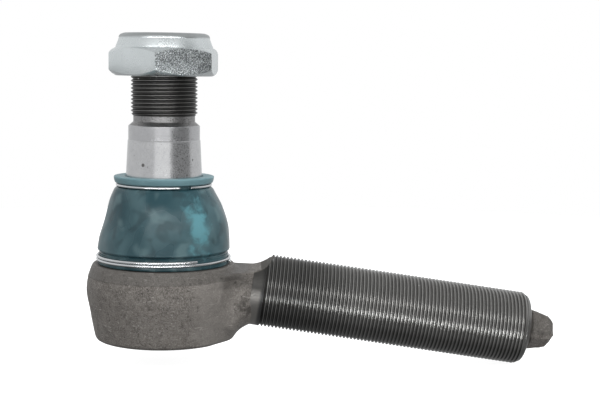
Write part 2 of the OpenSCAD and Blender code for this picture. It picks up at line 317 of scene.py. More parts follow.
start_clean()
bpy.ops.mesh.primitive_cube_add(
    size=1, location=(0, 0, (bar_tip + stub_len / 2 - 0.5) * mm),
    scale=(2 * stub_half * mm, 2 * stub_half * mm, (stub_len + 1) * mm))
bar_stub = bpy.context.object
bar_stub.name = bar_stub.data.name = "bar_stub"
bpy.ops.object.transform_apply(location=True, rotation=True, scale=True)
bpy.ops.object.mode_set(mode="EDIT")
select_faces(bar_stub, lambda centre, normal: normal.z > 0.9)
bpy.ops.transform.resize(value=(stub_end_scale, stub_end_scale, 1))
bpy.ops.mesh.select_all(action="SELECT")
bpy.ops.mesh.bevel(offset=stub_edge * mm, segments=1, affect="EDGES")
bpy.ops.object.mode_set(mode="OBJECT")
machine(bar_stub, turn("stub_envelope", [
    (0, bar_tip - 1), (stub_base_r - 0.2, bar_tip - 1), (stub_base_r - 0.2, bar_tip),
    (stub_base_r * 0.8, bar_tip + stub_len * 0.8), (stub_base_r * 0.62, bar_tip + stub_len),
    (0, bar_tip + stub_len)]), "INTERSECT")
apply_modifier(bar_stub, "REMESH", mode="VOXEL", voxel_size=0.3 * mm)
bar_stub.rotation_euler.z = math.radians(stub_twist)
bpy.ops.object.transform_apply(location=True, rotation=True, scale=True)
apply_modifier(bar_stub, "SMOOTH", factor=0.5, iterations=2)
roughen(bar_stub, clouds("hammer_marks", 2.4), 0.4)
smooth(bar_stub, 60)
for piece in (bar_thread, bar_stub):
    lay_along_bar(piece)

# %% [markdown]
# The top of the neck was forged low, so that it clears the boot, and rises in a hollow to
# the thread. The same hollow runs through the thread's first turns. The cutter is its
# profile, drawn once and extruded across the bar.

# %% The hollow above the neck
hollow_z, hollow_r = ball_z + 3.2, 12.0
hollow_reach, hollow_back = 42, 0.53
hollow_x = hollow_reach * math.cos(bar_slope) - hollow_back * hollow_r
thread_under = 0.15


def hollow_cutter(under):
    """The hollow's profile across the bar, lowered by that many millimetres."""
    sky, left, wide = 20, 20, 40
    profile = [(left, sky), (left, hollow_z),
               *arc((hollow_x, hollow_z + hollow_r), hollow_r, 270, 345, 16),
               (hollow_x + hollow_r, sky), (left, sky)]
    cutter = draw_outline("hollow_cutter", profile)
    tidy_mesh()
    bpy.ops.mesh.edge_face_add()
    bpy.ops.transform.translate(value=(0, -wide / 2 * mm, -under * mm))
    bpy.ops.mesh.extrude_region_move(TRANSFORM_OT_translate={"value": (0, wide * mm, 0)})
    tidy_mesh()
    bpy.ops.object.mode_set(mode="OBJECT")
    return cutter


machine(bar_thread, hollow_cutter(thread_under))
smooth(bar_thread, thread_angle)
print(f"bar_thread: {len(bar_thread.data.polygons)} faces after the hollow")

# %% [markdown]
# ## The forged housing
# A forging has no sharp inner corners: the barrel flows into the neck. The quickest way to
# that shape is to let the CAD solid's copy be rebuilt as an even grid of small faces, cut
# off before the thread, and then relax only the corner between barrel and neck. The seat
# for the boot and the bore were machined, so they stay crisp.

# %% The forging, from a copy of its CAD solid
forging_end = 39.2
cad_housing = frame["nodes"]["housing"]
forging = bpy.data.objects.new("housing_forging", cad_housing.data.copy())
bpy.context.scene.collection.objects.link(forging)
work_on(forging)
forging.data.materials.clear()
bpy.ops.object.mode_set(mode="EDIT")
bpy.ops.mesh.select_all(action="SELECT")
bpy.ops.mesh.remove_doubles(threshold=merge_gap)
bpy.ops.mesh.select_all(action="SELECT")
bpy.ops.mesh.bisect(plane_co=ball_centre + bar_direction * forging_end * mm,
                    plane_no=bar_direction, use_fill=True, clear_outer=True)
bpy.ops.object.mode_set(mode="OBJECT")
apply_modifier(forging, "REMESH", mode="VOXEL", voxel_size=0.5 * mm)
print(f"housing_forging: {len(forging.data.polygons)} faces")

# %% [markdown]
# Four weights say where the next modifiers act. Each one is a product of ramps in
# millimetres, so that every effect fades out before it reaches a machined surface.

# %% Where the forging changes
shoulder_z = ball_z + 5.2
socket_r = 25.6


def at_the_corner(p):
    """One where the neck leaves the barrel, fading to nothing away from it."""
    return (ramp(p.x, 19, 25) * ramp(-p.z, -shoulder_z + 1.2, -shoulder_z + 3)
            * ramp(25, abs(p.y) - 3, abs(p.y) + 3) * ramp(38 - p.x, 0, 5))


def on_the_skin(p):
    """One on the rough outside, nothing on the machined seat, bore and rim."""
    out = math.hypot(p.x, p.y)
    return (ramp(out, socket_r, socket_r + 3) * ramp(shoulder_z - 0.8 - p.z, 0, 3)
            * ramp(p.z, ball_z - 25.8, ball_z - 23.5))


def along_bar(p):
    """How far a place lies from the ball's centre along the bar."""
    return (p - ball_centre / mm).dot(bar_direction)


def under_the_neck(p):
    """One on the neck's underside, which the die left fuller than a plain round."""
    below = (ball_centre / mm + bar_direction * along_bar(p) - p).z
    return ramp(along_bar(p), 26, 31) * ramp(39.8 - along_bar(p), 0, 5) * ramp(below, 4, 10)


def on_the_flute(p):
    """One in the shallow flute along each side of the neck, below its top edge."""
    above_axis = (p - ball_centre / mm - bar_direction * along_bar(p)).z
    return (ramp(along_bar(p), 27, 31) * ramp(39 - along_bar(p), 0, 4)
            * ramp(above_axis, -1, 3) * ramp(7.5 - above_axis, 0, 3) * ramp(abs(p.y), 8, 11))


for group, weight_at in (("corner", at_the_corner), ("skin", on_the_skin),
                         ("underside", under_the_neck), ("flute", on_the_flute)):
    weigh(forging, group, weight_at)

# %% [markdown]
# The neck's underside swells and its sides sink a little, the corner is relaxed into one
# sweep, and then the skin takes the waves of the die and the small pits of the scale.

# %% Relaxing the corner and roughing the skin
for group, swell in (("underside", 1.1), ("flute", -0.9)):
    apply_modifier(forging, "DISPLACE", strength=swell * mm, mid_level=0, vertex_group=group)
apply_modifier(forging, "SMOOTH", factor=0.5, iterations=70, vertex_group="corner")
apply_modifier(forging, "SMOOTH", factor=0.5, iterations=3)
roughen(forging, clouds("die_waves", 9), 0.5, "skin")
roughen(forging, clouds("scale_pits", 1.6, 3), 0.22, "skin")
smooth(forging, 50)

# %% [markdown]
# ## The ball stud
# The stud is one turned and ground piece. Its plain part is a lathe outline: the ball with
# its flat, the neck, the cone, the land for the boot, the 1:10 taper, and the collar with
# the relief groove above it. The thread is a second rod with a centre hole in its end.

# %% The plain part of the stud
ball_r, neck_r = 19.0, 10.5
ball_flat_r, ball_flat_z = 8.49, 17
taper_r, taper_top_r, taper_len = 15.45, 14.725, 14.5
collar_r, collar_top = 14.5, 20.5
groove_r, groove_z = 12.5, 21.9
flat_angle = -math.degrees(math.acos(ball_flat_r / ball_r))
neck_angle = math.degrees(math.acos(neck_r / ball_r))

stud_body = turn("stud_body", [
    (0, ball_z - ball_flat_z), *arc((0, ball_z), ball_r, flat_angle, neck_angle, 20),
    (neck_r, -17), (neck_r + 0.5, -15.6), (taper_r - 0.5, -7.6), (taper_r, -6.6), (taper_r, 0),
    (taper_top_r, taper_len - 0.1), (taper_top_r - 0.08, taper_len), (collar_r, taper_len + 0.25),
    *arc((collar_r - 0.35, collar_top - 0.35), 0.35, 0, 60, 3),
    (groove_r + 0.25, groove_z - 0.1), (groove_r, groove_z + 0.2),
    (groove_r, 24.5), (0, 24.5)], steps=160)

# %% [markdown]
# The stud's thread starts above the relief groove. Its blank has a chamfer at both ends, and
# the drilled centre hole that held the stud while it was turned.

# %% The stud's thread
stud_crest_r, stud_thread_z, stud_top = 13.45, 25.3, 54.4
stud_thread = threaded_rod("stud_thread", stud_crest_r, stud_thread_z - 1.3, stud_top + 1, [
    (0, stud_thread_z - 0.95), (groove_r - 0.05, stud_thread_z - 0.95),
    (stud_crest_r + over, stud_thread_z + 0.9), (stud_crest_r + over, stud_top - 2.1),
    (stud_crest_r - 1.2, stud_top), (3, stud_top), (0.4, stud_top - 4.2), (0, stud_top - 4.3)])

# %% [markdown]
# ## The lock nut
# A hexagon is a six-sided cylinder. Turning it against a double cone cuts the chamfers that
# leave curved edges on the flats, which is how a real nut is made. The round collar that
# holds the nylon ring is added, the bore is cut, and a small bevel breaks every edge.

# %% The nut
nut_z, hex_h, nut_h = 40.5, 11.4, 17.1
flat_r = 20.5
corner_r = flat_r / math.cos(math.pi / 6)
face_r, cone_r, collar_out = flat_r - 1, corner_r + 1, flat_r - 0.7
chamfer_h = (cone_r - face_r) * math.tan(math.radians(30))
nut_bore, insert_hole = 13.53, 16.28
insert_low, insert_high = 53.15, 56.25
nut_turned, edge_break = -5, 0.22

start_clean()
bpy.ops.mesh.primitive_cylinder_add(vertices=6, radius=corner_r * mm, depth=hex_h * mm,
                                    location=(0, 0, (nut_z + hex_h / 2) * mm),
                                    rotation=(0, 0, math.radians(nut_turned)))
nut = bpy.context.object
nut.name = nut.data.name = "nut_body"
bpy.ops.object.transform_apply(location=True, rotation=True, scale=True)
machine(nut, turn("nut_chamfers", [
    (0, nut_z - 1), (face_r - 1.73, nut_z - 1), (face_r, nut_z), (cone_r, nut_z + chamfer_h),
    (cone_r, nut_z + hex_h - chamfer_h), (face_r, nut_z + hex_h),
    (face_r - 1.73, nut_z + hex_h + 1), (0, nut_z + hex_h + 1)]), "INTERSECT")
crown_z = nut_z + nut_h
machine(nut, turn("nut_collar", [
    (0, nut_z + hex_h - 1), (collar_out, nut_z + hex_h - 1),
    (collar_out - 0.2, nut_z + hex_h + 0.2), (collar_out - 1.5, crown_z - 2.1),
    *arc((collar_out - 3.2, crown_z - 2.0), 1.8, 10, 75, 8),
    *arc((collar_out - 3.6, crown_z - 0.6), 0.6, 80, 150, 4), (0, crown_z - 0.3)]), "UNION")
machine(nut, turn("nut_bore", [
    (0, nut_z - 1), (nut_bore + 1.7, nut_z - 1), (nut_bore + 0.7, nut_z),
    (nut_bore, nut_z + 0.7), (nut_bore, insert_low), (insert_hole, insert_low),
    (insert_hole, insert_high), *arc((nut_bore + 1.4, insert_high + 0.5), 0.5, 270, 180, 4),
    (nut_bore + 0.9, crown_z + 1), (0, crown_z + 1)]))
apply_modifier(nut, "BEVEL", width=edge_break * mm, segments=2, limit_method="ANGLE",
               angle_limit=math.radians(28), use_clamp_overlap=True)
smooth(nut, 35)
print(f"nut_body: {len(nut.data.polygons)} faces")

# %% [markdown]
# ## The boot
# The boot is moulded rubber, stretched between a bead on the housing and a lip on the stud.
# Its wall is one turned ring. Cloud noise makes the flank gently uneven, and the whole
# flank leans a little towards the bar, as fitted rubber does. Two joints tilt the stud, so
# the finished ring is cut in two at mid height.

# %% The boot's wall
boot_low = -35.5
lip_in, lip_out, lip_under = 15.75, 20.35, -2.9
bead_in, bead_out = 24.75, 26.75
groove_low, groove_high, groove_floor = -35.15, -31.66, 26.25
flank_r, boot_wall = 62.0, 2.0
flank_top, belly = Vector((19.85, -4.78)), Vector((26.9, -29.2))


def flank(r, steps):
    """The boot's side, an arc through its top and its belly, from the top down."""
    chord = belly - flank_top
    bow = math.sqrt(flank_r ** 2 - chord.length_squared / 4)
    across = Vector((chord.y, -chord.x)).normalized()
    middle = (flank_top + belly) / 2 + across * bow
    ends = [math.degrees(math.atan2(p.y - middle.y, p.x - middle.x)) for p in (flank_top, belly)]
    return arc(middle, r, *ends, steps)


boot = turn("boot_wall", [
    (lip_in, -0.3), (lip_in + 0.3, 0), *arc((lip_out - 0.45, -0.45), 0.45, 90, -20, 5),
    (lip_out - 0.15, -1.6), *arc((lip_out - 1.2, -1.9), 0.9, 0, -80, 5),
    (18.45, lip_under), (18.25, lip_under - 0.2), (18.25, -4.1), (18.4, -4.3),
    *arc((flank_top.x - 0.9, flank_top.y - 0.4), 0.75, 110, 30, 4),
    *flank(flank_r, 44)[1:], *arc((belly.x - 0.75, belly.y - 0.25), 0.8, 8, -75, 6),
    (25.95, -30.45), (25.7, -30.9), (25.9, -31.3), (bead_out - 0.35, -31.42),
    (bead_out - 0.3, groove_high + 0.02), (groove_floor, groove_high), (groove_floor, groove_low),
    (bead_out - 0.05, groove_low - 0.02), (bead_out, groove_low - 0.1), (bead_out - 0.1, boot_low),
    (bead_in, boot_low), (bead_in, groove_high + 0.6),
    *flank(flank_r - boot_wall, 44)[::-1], (lip_in, flank_top.y + 0.3), (lip_in, -0.3)], steps=160)

# %% [markdown]
# The flank is uneven only between its crease and its belly, and leans most at mid height.

# %% Uneven rubber
def on_the_flank(p):
    return ramp(-p.z, 5.5, 9) * ramp(p.z, -30.8, -27)


weigh(boot, "flank", on_the_flank)
roughen(boot, clouds("soft_rubber", 11, 1), 0.55, "flank")
lean = 0.95
for v in boot.data.vertices:
    v.co.x += lean * mm * math.sin(math.pi * ramp(-v.co.z / mm, 5, 30)) ** 2
smooth(boot, 35)

# %% [markdown]
# The cut at mid height closes each half with a flat ring, and both halves share the same
# outline there, so they meet without a step.

# %% Two halves
seam_z = -18.5


def half_of(piece, name, keep_above):
    half = piece.copy()
    half.data = piece.data.copy()
    half.name = half.data.name = name
    bpy.context.scene.collection.objects.link(half)
    work_on(half)
    bpy.ops.object.mode_set(mode="EDIT")
    bpy.ops.mesh.select_all(action="SELECT")
    bpy.ops.mesh.bisect(plane_co=(0, 0, seam_z * mm), plane_no=(0, 0, 1), use_fill=True,
                        clear_inner=keep_above, clear_outer=not keep_above)
    bpy.ops.object.mode_set(mode="OBJECT")
    smooth(half, 35)
    return half


boot_upper = half_of(boot, "boot_upper", True)
boot_lower = half_of(boot, "boot_lower", False)
bpy.data.objects.remove(boot)
print("boot halves:", len(boot_upper.data.polygons), "and", len(boot_lower.data.polygons))

# %% [markdown]
# ## The wire rings
# A ring is a small circle swept about Z. The upper one is a single turn with a gap, so it
# is spun through less than a full turn. The lower one is coiled twice, so the Screw
# modifier climbs as it turns. The wire's cut ends are filled and bevelled.

# %% Wires and their ends
def wire_circle(name, r, z, wire_r):
    """The wire's section, standing upright at that radius and height."""
    start_clean()
    bpy.ops.mesh.primitive_circle_add(vertices=16, radius=wire_r * mm,
                                      location=(r * mm, 0, z * mm),
                                      rotation=(math.pi / 2, 0, 0))
    piece = bpy.context.object
    piece.name = piece.data.name = name
    bpy.ops.object.transform_apply(location=True, rotation=True, scale=True)
    return piece


def close_wire(piece, start_at):
    """Fills and rounds the wire's two cut ends, and turns its start to an angle from +X."""
    work_on(piece)
    bpy.ops.object.mode_set(mode="EDIT")
    tidy_mesh()
    bpy.ops.mesh.select_mode(type="EDGE")
    bpy.ops.mesh.select_all(action="DESELECT")
    bpy.ops.mesh.select_non_manifold()
    bpy.ops.mesh.fill_holes(sides=0)
    tidy_mesh()
    bpy.ops.object.mode_set(mode="OBJECT")
    apply_modifier(piece, "BEVEL", width=0.2 * mm, segments=2, limit_method="ANGLE",
                   angle_limit=math.radians(60))
    piece.rotation_euler.z = math.radians(start_at)
    work_on(piece)
    bpy.ops.object.transform_apply(location=True, rotation=True, scale=True)
    smooth(piece, 40)
    print(f"{piece.name}: {len(piece.data.polygons)} faces")


# %% [markdown]
# The upper ring's gap and the lower ring's last end both face the front.

# %% The two rings
upper_gap, gap_at = 14, -74
upper_clip = wire_circle("upper_clip_ring", 18.92, -3.52, 0.62)
bpy.ops.object.mode_set(mode="EDIT")
bpy.ops.mesh.select_all(action="SELECT")
bpy.ops.mesh.spin(steps=144, angle=math.radians(360 - upper_gap), center=(0, 0, 0),
                  axis=(0, 0, 1))
close_wire(upper_clip, gap_at + upper_gap / 2)

coil_turns, coil_pitch, coil_end_at = 1.86, 1.26, -57.5
lower_coil = wire_circle("lower_coil_ring", 26.95, -34.5, 0.57)
apply_modifier(lower_coil, "SCREW", axis="Z", angle=math.tau * coil_turns,
               screw_offset=coil_pitch * coil_turns * mm, steps=288, render_steps=288)
close_wire(lower_coil, coil_end_at - 360 * coil_turns)

# %% [markdown]
# ## What moves with what
# Each new piece names the CAD node that it stands for, the body that it rides on, and the
# slot of its finish. The boot's halves replace the CAD boot and ride on no body.

# %% Bodies, slots and replaced nodes
rides = [
    (forging, "housing", "housing", "forged_steel"),
    (bar_thread, "housing", "housing", "forged_steel"),
    (bar_stub, "housing", "housing", "forged_steel"),
    (stud_body, "stud", "ball_stud", "ground_steel"),
    (stud_thread, "stud", "ball_stud", "ground_steel"),
    (nut, "nut", "lock_nut", "zinc_plate"),
    (upper_clip, "swing", "boot_top_ring", "spring_wire"),
    (lower_coil, "housing", "boot_bottom_ring", "spring_wire")]
for piece, body, node, slot in rides:
    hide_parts(node)
    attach(piece, body)
    print(f"{piece.name} rides on {body}")


for half in (boot_lower, boot_upper):
    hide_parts("dust_boot")
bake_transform(boot_lower)
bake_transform(boot_upper)

# %% [markdown]
# ## Finishes
# Shader maths reads best as sums. `Value` wraps a socket and turns `a * b + c` into Math
# nodes.

# %% Shader sums
class Value:
    """A number on the shader's side, which can be used in a sum."""

    def __init__(self, shading, socket):
        self.shading, self.socket = shading, socket

    def _math(self, operation, *values):
        return self.shading.node("ShaderNodeMath", {"operation": operation}, *values)

    def __add__(self, other):
        return self._math("ADD", self, other)

    def __sub__(self, other):
        return self._math("SUBTRACT", self, other)

    def __rsub__(self, other):
        return self._math("SUBTRACT", other, self)

    def __mul__(self, other):
        return self._math("MULTIPLY", self, other)

    __radd__, __rmul__ = __add__, __mul__


# %% [markdown]
# `Shading` makes any node from a type, its settings and its inputs. A mask is a number from
# 0 to 1, and most masks here are a soft step in a distance or in a noise.

# %% Nodes by name
class Shading:
    def __init__(self, tree):
        self.tree = tree

    def feed(self, socket, value):
        if isinstance(value, Value):
            self.tree.links.new(value.socket, socket)
        elif value is not None:
            if isinstance(value, (tuple, list)) and len(value) == 3 and socket.type == "RGBA":
                value = (*value, 1)
            socket.default_value = value

    def node(self, kind, settings, *values, out=0, **named):
        made = self.tree.nodes.new(kind)
        for key, value in settings.items():
            setattr(made, key, value)
        for socket, value in zip(made.inputs, values):
            self.feed(socket, value)
        for key, value in named.items():
            self.feed(made.inputs[key.replace("_", " ")], value)
        return Value(self, made.outputs[out])

    def step(self, value, low, high):
        """0 below low, 1 above high, smooth between."""
        return self.node("ShaderNodeMapRange", {"interpolation_type": "SMOOTHSTEP"}, Value=value,
                         From_Min=low, From_Max=high, To_Min=0.0, To_Max=1.0)

    def between(self, value, a, b, soft):
        """1 from a to b, with soft edges."""
        return self.step(value, a - soft, a + soft) * (1 - self.step(value, b - soft, b + soft))

    def vector(self, operation, *values, out=0):
        return self.node("ShaderNodeVectorMath", {"operation": operation}, *values, out=out)


# %% [markdown]
# `Finish` is the shading of one material. Its patterns read Object coordinates, so their
# sizes are real millimetres.

# %% A finish
class Finish(Shading):
    def __init__(self, name):
        self.material = bpy.data.materials.new(name)
        self.material.use_nodes = True
        super().__init__(self.material.node_tree)
        self.shader = self.tree.nodes["Principled BSDF"]
        self.at = self.node("ShaderNodeTexCoord", {}, out="Object")

    def noise(self, size, detail=3, roughness=0.55, stretch=(1, 1, 1), distortion=0):
        """Cloudy noise with features of about that size in millimetres, 0 to 1."""
        place = self.node("ShaderNodeMapping", {}, Vector=self.at, Scale=stretch)
        return self.node("ShaderNodeTexNoise", {}, out="Fac", Vector=place, Scale=1000 / size,
                         Detail=detail, Roughness=roughness, Distortion=distortion)

    def mix(self, mask, a, b):
        """Colour a where the mask is 0, b where it is 1."""
        not_colours = (None,) * 5
        return self.node("ShaderNodeMix", {"data_type": "RGBA"}, mask, *not_colours, a, b, out=2)

    def layers(self, colour, *coats):
        """Lays coats over a first colour; each coat is its mask and its colour."""
        for mask, coat in coats:
            colour = self.mix(mask, colour, coat)
        return colour

    def part(self, axis):
        return self.node("ShaderNodeSeparateXYZ", {}, self.at, out=axis)

    def distance(self, centre, weights=(1, 1, 1)):
        """Distance from a point in millimetres, with each axis counted by its weight."""
        away = self.vector("SUBTRACT", self.at, tuple(Vector(centre) * mm))
        return self.vector("LENGTH", self.vector("MULTIPLY", away, weights), out="Value")

    def from_axis(self, centre, axis):
        """Distance from a line through a point in metres."""
        away = self.vector("SUBTRACT", self.at, tuple(centre))
        return self.vector("LENGTH", self.vector("CROSS_PRODUCT", away, tuple(axis)), out="Value")

    def along(self, start, direction):
        """How far a place lies from a start in metres, counted along a direction."""
        away = self.vector("SUBTRACT", self.at, tuple(start))
        return self.vector("DOT_PRODUCT", away, tuple(direction), out="Value")

    def relief(self, height_value, depth, under=None):
        """A bump whose full height is depth millimetres."""
        return self.node("ShaderNodeBump", {}, Strength=1.0, Distance=depth * mm,
                         Height=height_value, Normal=under)

    def paint(self, *pieces, **sockets):
        for key, value in sockets.items():
            self.feed(self.shader.inputs[key.replace("_", " ")], value)
        for piece in pieces:
            piece.data.materials.clear()
            piece.data.materials.append(self.material)
        print(f"{self.material.name}: {len(self.tree.nodes)} nodes on {len(pieces)} piece(s)")


# %% [markdown]
# ### Forged steel
# A forging comes out of its die with a grey-brown phosphated skin. Large soft patches make
# it mottled, small dark pits lie where scale was pressed in, and pale specks and scratches
# where the skin has rubbed off.

# %% The forged skin
skin_metal = 0.35


def forged_skin(f):
    """The skin's colour, roughness and bump, and its blotches for the marks laid over it."""
    patches, blotches, grain = f.noise(17, 3, 0.6), f.noise(3, 5, 0.7), f.noise(0.5, 4, 0.8)
    pits = f.step(f.noise(1.2, 3, 0.65, distortion=0.6), 0.63, 0.70)
    rubbed = f.step(f.noise(0.9, 5, 0.85), 0.56, 0.66)
    long_noise = f.noise(1.5, 2, 0.5, stretch=(0.35, 0.35, 2.2), distortion=1.2)
    scratches = f.step(long_noise, 0.66, 0.70)
    brown = f.mix(f.step(patches, 0.3, 0.7), (0.118, 0.106, 0.094), (0.160, 0.146, 0.131))
    colour = f.layers(brown,
                      (f.step(blotches, 0.44, 0.60) * 0.6, (0.068, 0.060, 0.053)),
                      (f.step(grain, 0.47, 0.58) * 0.7, (0.25, 0.231, 0.213)),
                      (scratches * 0.7, (0.38, 0.36, 0.335)),
                      (rubbed * 0.6, (0.42, 0.40, 0.375)),
                      (pits * 0.85, (0.028, 0.024, 0.021)))
    rough = 0.42 + blotches * 0.2 + grain * 0.15
    bump = f.relief(grain * 0.6 + blotches - pits * 0.9 - scratches * 0.3, 0.22)
    return colour, rough, bump, blotches


# %% [markdown]
# The band below the boot was turned, so it is smoother and darker, and a thin dark line marks
# its lower edge. Dirt stays at the bottom rim. Painted shade darkens the neck's upper side by
# the hollow above the neck, and a blotchy dark patch lies low on the neck's side. The side
# towards the bar is painted paler, partly as wear and partly as painted light from that side.

# %% The housing's skin
turned_r = 35
dark_patch_at = (33, -12.5, -52)
dirt, neck_shade_colour, worn_and_lit_steel = (0.05, 0.046, 0.042), (0.055, 0.050, 0.045), (0.27, 0.252, 0.232)

f = Finish("forged_skin")
skin, rough, bump, blotches = forged_skin(f)
x, z = f.part("X"), f.part("Z")
out = f.distance((0, 0, 0), (1, 1, 0))
turned = f.step(z, (ball_z + 0.45) * mm, (ball_z + 0.75) * mm)
turned = turned * (1 - f.step(out, (turned_r - 0.5) * mm, (turned_r + 0.5) * mm))
edge = f.between(z, (ball_z + 0.1) * mm, (ball_z + 0.6) * mm, 0.1 * mm)
edge = edge * (1 - f.step(x, 18 * mm, 24 * mm))
rim = f.between(z, -66.6 * mm, -65.9 * mm, 0.1 * mm)
# Painted shade on the neck's upper side, below the hollow above the neck.
hollow = f.between(z, (ball_z - 2.5) * mm, (ball_z + 4.4) * mm, 1.2 * mm)
hollow = hollow * f.between(x, 22 * mm, 35 * mm, 3 * mm)
# Paler towards the bar: partly wear, partly painted light falling from that side.
wear_and_light = f.between(x, 14 * mm, 29 * mm, 5 * mm) * (1 - turned)
# A blotchy dark patch low on the neck's side.
dark_patch = 1 - f.step(f.distance(dark_patch_at), 1.5 * mm, 6 * mm)
skin = f.layers(skin,
                (wear_and_light * 0.45, worn_and_lit_steel),
                (dark_patch * f.step(blotches, 0.38, 0.55) * 0.8, (0.05, 0.045, 0.04)),
                (turned * 0.55, (0.085, 0.080, 0.074)),
                (edge * 0.4, dirt),
                (hollow * 0.45, neck_shade_colour),
                (rim * 0.5, dirt))
turning_lines = f.noise(0.35, 2, 0.5, stretch=(0.02, 0.02, 1))
f.paint(forging, Base_Color=skin, Roughness=rough - turned * 0.12, Metallic=skin_metal,
        Normal=f.relief(turning_lines * turned, 0.02, bump))

# %% [markdown]
# The stub has the same skin, a little darker, and painted shade darkens its upper half.

# %% The stub's skin
stub_z = (ball_centre + bar_direction * (bar_tip + stub_len / 2) * mm).z

f = Finish("stub_skin")
skin, rough, bump, _ = forged_skin(f)
# Painted shade over the stub's upper half.
stub_upper_shade = f.step(f.part("Z"), stub_z - 1.5 * mm, stub_z + 1 * mm)
f.paint(bar_stub, Base_Color=f.mix(0.03 + stub_upper_shade * 0.4, skin, (0.03, 0.029, 0.027)),
        Roughness=rough, Metallic=skin_metal, Normal=bump)

# %% [markdown]
# ### Dark thread steel
# Cut threads are oiled and phosphated nearly black, and their crests are rubbed bright. The
# distance from the thread's own axis tells a crest from a root, so one mask does both. A few
# specks of bare metal glint between them.

# %% Thread steel
thread_metal = 0.9


def thread_steel(f, shades, centre, axis, crest_r):
    """Colour, roughness and bump of a thread, from its dark, pale and rubbed shades."""
    crest = f.step(f.from_axis(centre, axis), (crest_r - 0.4) * mm, (crest_r - 0.08) * mm)
    smears, specks = f.noise(5, 4, 0.6), f.noise(0.7, 3, 0.7)
    dark, pale, rubbed = [tuple(shade * c for c in (1, 0.985, 0.95)) for shade in shades]
    colour = f.layers(f.mix(smears, dark, pale),
                      (crest * 0.85, rubbed),
                      (f.step(specks, 0.60, 0.72) * 0.5, rubbed),
                      (f.step(specks, 0.40, 0.28) * 0.6, (0.02, 0.02, 0.02)),
                      (f.step(f.noise(2.2, 1, 0.3), 0.80, 0.82), (0.75, 0.74, 0.72)))
    return colour, 0.20 + specks * 0.22, f.relief(specks, 0.02)


f = Finish("stud_thread_steel")
steel, rough, bump = thread_steel(f, (0.05, 0.10, 0.17), (0, 0, 0), (0, 0, 1), stud_crest_r)
f.paint(stud_thread, Base_Color=steel, Roughness=rough, Metallic=thread_metal, Normal=bump)

# %% [markdown]
# The bar's thread has painted shade on its lower side and painted light on its upper side, and
# it is darker towards the neck. Its plain shank darkens towards the first groove and has
# painted shade on its upper side. The neck's hollow is forged, so the steel turns to the
# forging's colour where the hollow cuts in.

# %% The bar's thread steel
bar_up = bar_direction.cross(Vector((0, 1, 0)))
shank_end_at = ball_centre + bar_direction * (shank_end * mm)
hollow_axis_at = (hollow_x, 0, hollow_z + hollow_r - thread_under)
shank_steel, shank_dark = (0.19, 0.182, 0.17), (0.05, 0.05, 0.05)
shank_shade = (0.035, 0.034, 0.032)

f = Finish("bar_thread_steel")
steel, rough, bump = thread_steel(f, (0.13, 0.25, 0.34), ball_centre, bar_direction, bar_crest_r)
rise, away = f.along(ball_centre, bar_up), f.along(shank_end_at, bar_direction)
# Painted shade over the lower side of the thread.
painted_lower_shade = 1 - f.step(rise, -8.5 * mm, -4 * mm)
# Painted light over the upper side of the thread.
painted_upper_light = f.step(rise, 4.5 * mm, 7.5 * mm)
# Darker towards the neck.
darker_near_neck = 1 - f.step(away, 12 * mm, 42 * mm)
plain = 1 - f.step(away, 0, 0.5 * mm)
forged = 1 - f.step(f.distance(hollow_axis_at, (1, 0, 1)), (hollow_r + 0.1) * mm,
                    (hollow_r + 0.3) * mm)
# The shank darkens towards the first groove, and painted shade covers its upper side.
shank = f.layers(shank_steel, (f.step(away, -2.0 * mm, -0.6 * mm), shank_dark),
                 (f.step(rise, 0.5 * mm, 3 * mm) * 0.85, shank_shade))
steel = f.layers(steel,
                 (painted_lower_shade * 0.45, (0.012, 0.012, 0.012)),
                 (painted_upper_light * 0.13, (0.52, 0.51, 0.49)),
                 (darker_near_neck * 0.5, (0.04, 0.04, 0.038)),
                 (plain * 0.9, shank),
                 (forged, (0.15, 0.14, 0.125)))
f.paint(bar_thread, Base_Color=steel, Roughness=rough + forged * 0.3 + plain * 0.14,
        Metallic=thread_metal, Normal=bump)

# %% [markdown]
# ### Ground steel
# The taper is ground, so it mirrors the studio in upright bands, broken up by fine rings.
# Above it the collar and the groove are only turned, and carry some of the dark phosphate.
# Dust from it is smeared down one side of the taper, and a small nick marks the other.

# %% Ground steel
nick_at = (-7.5, -13.1, 5.1)

f = Finish("ground_taper")
z = f.part("Z")
rings = f.noise(0.25, 3, 0.6, stretch=(0.01, 0.01, 1))
haze = f.noise(4, 4, 0.6)
collar = f.step(z, (taper_len + 0.1) * mm, (taper_len + 0.3) * mm)
groove = f.step(z, (collar_top - 0.1) * mm, (collar_top + 0.3) * mm)
spots = f.step(f.noise(1.6, 2, 0.5), 0.735, 0.76)
nick = 1 - f.step(f.distance(nick_at), 0.45 * mm, 0.95 * mm)
dust = f.step(f.noise(0.5, 3, 0.7), 0.54, 0.61)
smeared = f.between(f.part("X"), 3.5 * mm, 11.5 * mm, 1 * mm)
steel = f.layers(f.mix(haze, (0.50, 0.50, 0.51), (0.66, 0.66, 0.66)),
                 (collar * 0.35, (0.40, 0.40, 0.41)),
                 (groove * 0.7, (0.20, 0.195, 0.19)),
                 (dust * (0.15 + groove * 0.8 + smeared * 0.55), (0.07, 0.065, 0.06)),
                 (spots * 0.8 + nick * 0.8, (0.05, 0.045, 0.04)))
rough = 0.15 + haze * 0.08 + collar * 0.03 + groove * 0.1 + spots * 0.3
f.paint(stud_body, Base_Color=steel, Roughness=rough, Metallic=1.0,
        Normal=f.relief(rings, 0.006))

# %% [markdown]
# ### Zinc plate
# Bright zinc is a cloudy, slightly blue silver. The tumbling that goes with plating leaves
# shallow dents and a fine speckle. One flat is blasted dull and speckled dark, partly as painted
# shade, and the rolled-in crown above the nylon ring is darkened with painted shade.

# %% Zinc plate
blasted_shaded_side, crown_low = math.radians(-65), 55.5

